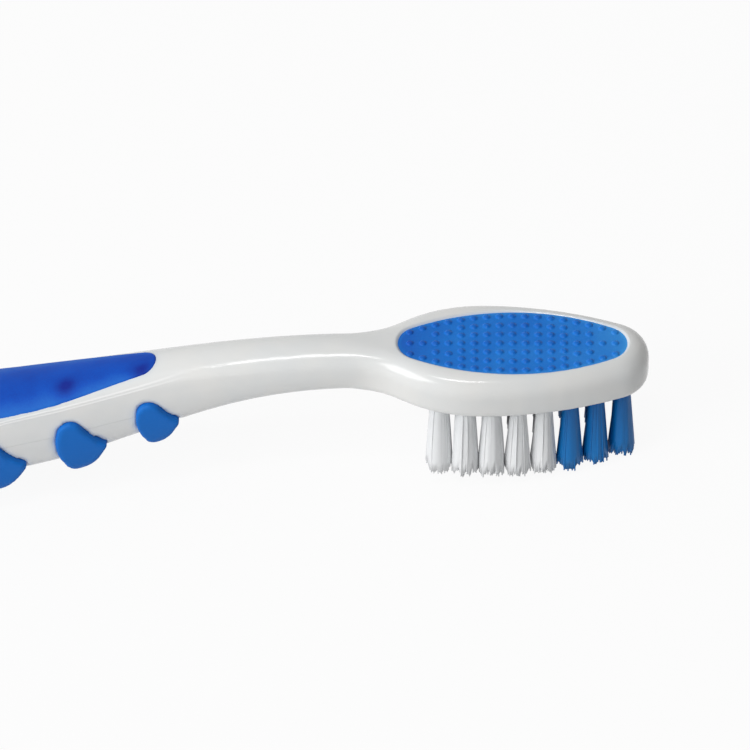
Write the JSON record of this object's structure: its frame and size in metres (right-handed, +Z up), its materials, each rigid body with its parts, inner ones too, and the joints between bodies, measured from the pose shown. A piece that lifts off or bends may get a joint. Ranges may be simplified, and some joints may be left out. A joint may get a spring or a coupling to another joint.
{
  "type": "toothbrush",
  "caption": "Manual toothbrush with an oval head, a soft tongue cleaner on its back, tufted bristles and a soft overmoulded grip with finger ribs.",
  "frame": {"origin": "middle of the brush's box in plan, on the surface that it rests on", "axes": "+X along the brush towards the toe of its head, +Y across the head, +Z up; it rests on its toe bristles and the underside of its tail"},
  "size_m": [0.1915, 0.0139, 0.0178],
  "materials": {
    "white_plastic": "glossy moulded polypropylene",
    "grip_rubber": "satin translucent soft rubber",
    "cleaner_rubber": "satin translucent soft rubber",
    "white_bristle": "nylon filament",
    "blue_bristle": "nylon filament",
    "anchor_metal": "rolled flat wire"
  },
  "bodies": {
    "root": {"anchors": "anchor_metal", "blue_tuft_1_1": "blue_bristle", "blue_tuft_1_2": "blue_bristle", "blue_tuft_2_1": "blue_bristle", "blue_tuft_2_2": "blue_bristle", "blue_tuft_2_3": "blue_bristle", "blue_tuft_3_1": "blue_bristle", "blue_tuft_3_2": "blue_bristle", "blue_tuft_3_3": "blue_bristle", "handle": "white_plastic", "soft_grip": "grip_rubber", "tongue_cleaner": "cleaner_rubber", "white_tuft_4_1": "white_bristle", "white_tuft_4_2": "white_bristle", "white_tuft_4_3": "white_bristle", "white_tuft_4_4": "white_bristle", "white_tuft_5_1": "white_bristle", "white_tuft_5_2": "white_bristle", "white_tuft_5_3": "white_bristle", "white_tuft_5_4": "white_bristle", "white_tuft_6_1": "white_bristle", "white_tuft_6_2": "white_bristle", "white_tuft_6_3": "white_bristle", "white_tuft_6_4": "white_bristle", "white_tuft_7_1": "white_bristle", "white_tuft_7_2": "white_bristle", "white_tuft_7_3": "white_bristle", "white_tuft_7_4": "white_bristle", "white_tuft_8_1": "white_bristle", "white_tuft_8_2": "white_bristle", "white_tuft_8_3": "white_bristle"}
  },
  "joints": []
}
